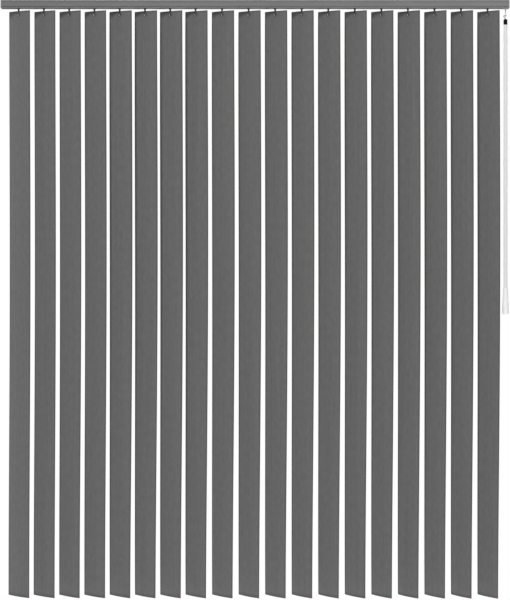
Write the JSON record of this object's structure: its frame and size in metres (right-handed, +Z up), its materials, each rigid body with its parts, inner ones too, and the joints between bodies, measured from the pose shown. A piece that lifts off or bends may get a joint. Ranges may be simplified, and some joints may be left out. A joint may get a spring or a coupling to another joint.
{
  "type": "vertical blind",
  "caption": "Vertical blind worked by a wand: curved grey slats on hangers that tilt and slide along a ribbed headrail.",
  "frame": {"origin": "centre of the ceiling face of the middle clip, on the headrail's centre line", "axes": "+Z up, +X along the headrail to the wand's end as seen from the room, +Y from the room towards the window"},
  "size_m": [1.5404, 0.0662, 1.8105],
  "materials": {
    "slat_vinyl": "matte, finely ribbed along its length",
    "hanger_plastic": "satin",
    "rail_aluminium": "satin grey",
    "cap_plastic": "satin",
    "clip_steel": "zinc plated",
    "rod_aluminium": "mill",
    "carrier_plastic": "moulded",
    "eye_plastic": "moulded",
    "hook_wire": "drawn wire",
    "connector_plastic": "gloss",
    "wand_plastic": "gloss",
    "handle_plastic": "milky gloss"
  },
  "bodies": {
    "rail": {"headrail": "rail_aluminium", "end_cap_left": "cap_plastic", "end_cap_right": "cap_plastic", "ceiling_clip_left": "clip_steel", "ceiling_clip_middle": "clip_steel", "ceiling_clip_right": "clip_steel"},
    "lead": {"carrier_19": "carrier_plastic", "lead_arm": "carrier_plastic", "wand_carrier": "carrier_plastic"},
    "tilt_rod": {"tilt_rod": "rod_aluminium"},
    "rod_gear": {"rod_gear": "carrier_plastic"},
    "spindle": {"wand_spindle": "eye_plastic"},
    "wand": {"wand_hook": "hook_wire", "wand_connector": "connector_plastic", "wand_rod": "wand_plastic", "wand_handle": "handle_plastic"},
    "carrier_01": {"carrier_01": "carrier_plastic"},
    "carrier_02": {"carrier_02": "carrier_plastic"},
    "carrier_03": {"carrier_03": "carrier_plastic"},
    "carrier_04": {"carrier_04": "carrier_plastic"},
    "carrier_05": {"carrier_05": "carrier_plastic"},
    "carrier_06": {"carrier_06": "carrier_plastic"},
    "carrier_07": {"carrier_07": "carrier_plastic"},
    "carrier_08": {"carrier_08": "carrier_plastic"},
    "carrier_09": {"carrier_09": "carrier_plastic"},
    "carrier_10": {"carrier_10": "carrier_plastic"},
    "carrier_11": {"carrier_11": "carrier_plastic"},
    "carrier_12": {"carrier_12": "carrier_plastic"},
    "carrier_13": {"carrier_13": "carrier_plastic"},
    "carrier_14": {"carrier_14": "carrier_plastic"},
    "carrier_15": {"carrier_15": "carrier_plastic"},
    "carrier_16": {"carrier_16": "carrier_plastic"},
    "carrier_17": {"carrier_17": "carrier_plastic"},
    "carrier_18": {"carrier_18": "carrier_plastic"},
    "slat_01": {"slat_01": "slat_vinyl"},
    "slat_02": {"slat_02": "slat_vinyl"},
    "slat_03": {"slat_03": "slat_vinyl"},
    "slat_04": {"slat_04": "slat_vinyl"},
    "slat_05": {"slat_05": "slat_vinyl"},
    "slat_06": {"slat_06": "slat_vinyl"},
    "slat_07": {"slat_07": "slat_vinyl"},
    "slat_08": {"slat_08": "slat_vinyl"},
    "slat_09": {"slat_09": "slat_vinyl"},
    "slat_10": {"slat_10": "slat_vinyl"},
    "slat_11": {"slat_11": "slat_vinyl"},
    "slat_12": {"slat_12": "slat_vinyl"},
    "slat_13": {"slat_13": "slat_vinyl"},
    "slat_14": {"slat_14": "slat_vinyl"},
    "slat_15": {"slat_15": "slat_vinyl"},
    "slat_16": {"slat_16": "slat_vinyl"},
    "slat_17": {"slat_17": "slat_vinyl"},
    "slat_18": {"slat_18": "slat_vinyl"},
    "slat_19": {"slat_19": "slat_vinyl"}
  },
  "joints": [
    {"name": "traverse", "type": "slide", "parent": "rail", "child": "lead", "axis": [-1, 0, 0], "range_m": [0, 1.2031]},
    {"name": "tilt", "type": "hinge", "parent": "lead", "child": "slat_19", "pos_m": [0.7056, 0, 0], "axis": [0, 0, -1], "range_deg": [-22.5, 112.5]},
    {"name": "traverse_01", "type": "slide", "parent": "rail", "child": "carrier_01", "axis": [-1, 0, 0], "range_m": [0, 0.0413]},
    {"name": "tilt_01", "type": "hinge", "parent": "carrier_01", "child": "slat_01", "pos_m": [-0.7172, 0, 0], "axis": [0, 0, -1], "range_deg": [-22.5, 112.5]},
    {"name": "traverse_02", "type": "slide", "parent": "rail", "child": "carrier_02", "axis": [-1, 0, 0], "range_m": [0, 0.10348]},
    {"name": "tilt_02", "type": "hinge", "parent": "carrier_02", "child": "slat_02", "pos_m": [-0.64052, 0, 0], "axis": [0, 0, -1], "range_deg": [-22.5, 112.5]},
    {"name": "traverse_03", "type": "slide", "parent": "rail", "child": "carrier_03", "axis": [-1, 0, 0], "range_m": [0, 0.16566]},
    {"name": "tilt_03", "type": "hinge", "parent": "carrier_03", "child": "slat_03", "pos_m": [-0.56384, 0, 0], "axis": [0, 0, -1], "range_deg": [-22.5, 112.5]},
    {"name": "traverse_04", "type": "slide", "parent": "rail", "child": "carrier_04", "axis": [-1, 0, 0], "range_m": [0, 0.22785]},
    {"name": "tilt_04", "type": "hinge", "parent": "carrier_04", "child": "slat_04", "pos_m": [-0.48716, 0, 0], "axis": [0, 0, -1], "range_deg": [-22.5, 112.5]},
    {"name": "traverse_05", "type": "slide", "parent": "rail", "child": "carrier_05", "axis": [-1, 0, 0], "range_m": [0, 0.29003]},
    {"name": "tilt_05", "type": "hinge", "parent": "carrier_05", "child": "slat_05", "pos_m": [-0.41047, 0, 0], "axis": [0, 0, -1], "range_deg": [-22.5, 112.5]},
    {"name": "traverse_06", "type": "slide", "parent": "rail", "child": "carrier_06", "axis": [-1, 0, 0], "range_m": [0, 0.35221]},
    {"name": "tilt_06", "type": "hinge", "parent": "carrier_06", "child": "slat_06", "pos_m": [-0.33379, 0, 0], "axis": [0, 0, -1], "range_deg": [-22.5, 112.5]},
    {"name": "traverse_07", "type": "slide", "parent": "rail", "child": "carrier_07", "axis": [-1, 0, 0], "range_m": [0, 0.41439]},
    {"name": "tilt_07", "type": "hinge", "parent": "carrier_07", "child": "slat_07", "pos_m": [-0.25711, 0, 0], "axis": [0, 0, -1], "range_deg": [-22.5, 112.5]},
    {"name": "traverse_08", "type": "slide", "parent": "rail", "child": "carrier_08", "axis": [-1, 0, 0], "range_m": [0, 0.47657]},
    {"name": "tilt_08", "type": "hinge", "parent": "carrier_08", "child": "slat_08", "pos_m": [-0.18043, 0, 0], "axis": [0, 0, -1], "range_deg": [-22.5, 112.5]},
    {"name": "traverse_09", "type": "slide", "parent": "rail", "child": "carrier_09", "axis": [-1, 0, 0], "range_m": [0, 0.54262]},
    {"name": "tilt_09", "type": "hinge", "parent": "carrier_09", "child": "slat_09", "pos_m": [-0.09988, 0, 0], "axis": [0, 0, -1], "range_deg": [-22.5, 112.5]},
    {"name": "traverse_10", "type": "slide", "parent": "rail", "child": "carrier_10", "axis": [-1, 0, 0], "range_m": [0, 0.60867]},
    {"name": "tilt_10", "type": "hinge", "parent": "carrier_10", "child": "slat_10", "pos_m": [-0.01933, 0, 0], "axis": [0, 0, -1], "range_deg": [-22.5, 112.5]},
    {"name": "traverse_11", "type": "slide", "parent": "rail", "child": "carrier_11", "axis": [-1, 0, 0], "range_m": [0, 0.67472]},
    {"name": "tilt_11", "type": "hinge", "parent": "carrier_11", "child": "slat_11", "pos_m": [0.06122, 0, 0], "axis": [0, 0, -1], "range_deg": [-22.5, 112.5]},
    {"name": "traverse_12", "type": "slide", "parent": "rail", "child": "carrier_12", "axis": [-1, 0, 0], "range_m": [0, 0.74077]},
    {"name": "tilt_12", "type": "hinge", "parent": "carrier_12", "child": "slat_12", "pos_m": [0.14176, 0, 0], "axis": [0, 0, -1], "range_deg": [-22.5, 112.5]},
    {"name": "traverse_13", "type": "slide", "parent": "rail", "child": "carrier_13", "axis": [-1, 0, 0], "range_m": [0, 0.80681]},
    {"name": "tilt_13", "type": "hinge", "parent": "carrier_13", "child": "slat_13", "pos_m": [0.22231, 0, 0], "axis": [0, 0, -1], "range_deg": [-22.5, 112.5]},
    {"name": "traverse_14", "type": "slide", "parent": "rail", "child": "carrier_14", "axis": [-1, 0, 0], "range_m": [0, 0.87286]},
    {"name": "tilt_14", "type": "hinge", "parent": "carrier_14", "child": "slat_14", "pos_m": [0.30286, 0, 0], "axis": [0, 0, -1], "range_deg": [-22.5, 112.5]},
    {"name": "traverse_15", "type": "slide", "parent": "rail", "child": "carrier_15", "axis": [-1, 0, 0], "range_m": [0, 0.93891]},
    {"name": "tilt_15", "type": "hinge", "parent": "carrier_15", "child": "slat_15", "pos_m": [0.38341, 0, 0], "axis": [0, 0, -1], "range_deg": [-22.5, 112.5]},
    {"name": "traverse_16", "type": "slide", "parent": "rail", "child": "carrier_16", "axis": [-1, 0, 0], "range_m": [0, 1.00496]},
    {"name": "tilt_16", "type": "hinge", "parent": "carrier_16", "child": "slat_16", "pos_m": [0.46396, 0, 0], "axis": [0, 0, -1], "range_deg": [-22.5, 112.5]},
    {"name": "traverse_17", "type": "slide", "parent": "rail", "child": "carrier_17", "axis": [-1, 0, 0], "range_m": [0, 1.071]},
    {"name": "tilt_17", "type": "hinge", "parent": "carrier_17", "child": "slat_17", "pos_m": [0.5445, 0, 0], "axis": [0, 0, -1], "range_deg": [-22.5, 112.5]},
    {"name": "traverse_18", "type": "slide", "parent": "rail", "child": "carrier_18", "axis": [-1, 0, 0], "range_m": [0, 1.13705]},
    {"name": "tilt_18", "type": "hinge", "parent": "carrier_18", "child": "slat_18", "pos_m": [0.62505, 0, 0], "axis": [0, 0, -1], "range_deg": [-22.5, 112.5]},
    {"name": "rod_turn", "type": "hinge", "parent": "rail", "child": "tilt_rod", "pos_m": [0, 0.009, -0.015], "axis": [1, 0, 0], "range_deg": [-360, 1800]},
    {"name": "rod_gear_turn", "type": "hinge", "parent": "lead", "child": "rod_gear", "pos_m": [0.76, 0.009, -0.015], "axis": [1, 0, 0], "range_deg": [-360, 1800]},
    {"name": "wand_twist", "type": "hinge", "parent": "lead", "child": "spindle", "pos_m": [0.76, 0, 0], "axis": [0, 0, 1], "range_deg": [-360, 1800]},
    {"name": "wand_swing", "type": "hinge", "parent": "spindle", "child": "wand", "pos_m": [0.76, 0, -0.0479], "axis": [-1, 0, 0], "range_deg": [-30, 60]}
  ],
  "couplings": [
    {"joint": "traverse_01", "follows": "traverse", "ratio": 0.034328},
    {"joint": "tilt_01", "follows": "tilt", "ratio": 1},
    {"joint": "traverse_02", "follows": "traverse", "ratio": 0.086013},
    {"joint": "tilt_02", "follows": "tilt", "ratio": 1},
    {"joint": "traverse_03", "follows": "traverse", "ratio": 0.1377},
    {"joint": "tilt_03", "follows": "tilt", "ratio": 1},
    {"joint": "traverse_04", "follows": "traverse", "ratio": 0.18938},
    {"joint": "tilt_04", "follows": "tilt", "ratio": 1},
    {"joint": "traverse_05", "follows": "traverse", "ratio": 0.24107},
    {"joint": "tilt_05", "follows": "tilt", "ratio": 1},
    {"joint": "traverse_06", "follows": "traverse", "ratio": 0.29275},
    {"joint": "tilt_06", "follows": "tilt", "ratio": 1},
    {"joint": "traverse_07", "follows": "traverse", "ratio": 0.34443},
    {"joint": "tilt_07", "follows": "tilt", "ratio": 1},
    {"joint": "traverse_08", "follows": "traverse", "ratio": 0.39612},
    {"joint": "tilt_08", "follows": "tilt", "ratio": 1},
    {"joint": "traverse_09", "follows": "traverse", "ratio": 0.45102},
    {"joint": "tilt_09", "follows": "tilt", "ratio": 1},
    {"joint": "traverse_10", "follows": "traverse", "ratio": 0.50592},
    {"joint": "tilt_10", "follows": "tilt", "ratio": 1},
    {"joint": "traverse_11", "follows": "traverse", "ratio": 0.56081},
    {"joint": "tilt_11", "follows": "tilt", "ratio": 1},
    {"joint": "traverse_12", "follows": "traverse", "ratio": 0.61571},
    {"joint": "tilt_12", "follows": "tilt", "ratio": 1},
    {"joint": "traverse_13", "follows": "traverse", "ratio": 0.67061},
    {"joint": "tilt_13", "follows": "tilt", "ratio": 1},
    {"joint": "traverse_14", "follows": "traverse", "ratio": 0.72551},
    {"joint": "tilt_14", "follows": "tilt", "ratio": 1},
    {"joint": "traverse_15", "follows": "traverse", "ratio": 0.78041},
    {"joint": "tilt_15", "follows": "tilt", "ratio": 1},
    {"joint": "traverse_16", "follows": "traverse", "ratio": 0.8353},
    {"joint": "tilt_16", "follows": "tilt", "ratio": 1},
    {"joint": "traverse_17", "follows": "traverse", "ratio": 0.8902},
    {"joint": "tilt_17", "follows": "tilt", "ratio": 1},
    {"joint": "traverse_18", "follows": "traverse", "ratio": 0.9451},
    {"joint": "tilt_18", "follows": "tilt", "ratio": 1},
    {"joint": "rod_turn", "follows": "tilt", "ratio": 16},
    {"joint": "rod_gear_turn", "follows": "tilt", "ratio": 16},
    {"joint": "wand_twist", "follows": "tilt", "ratio": 16}
  ]
}
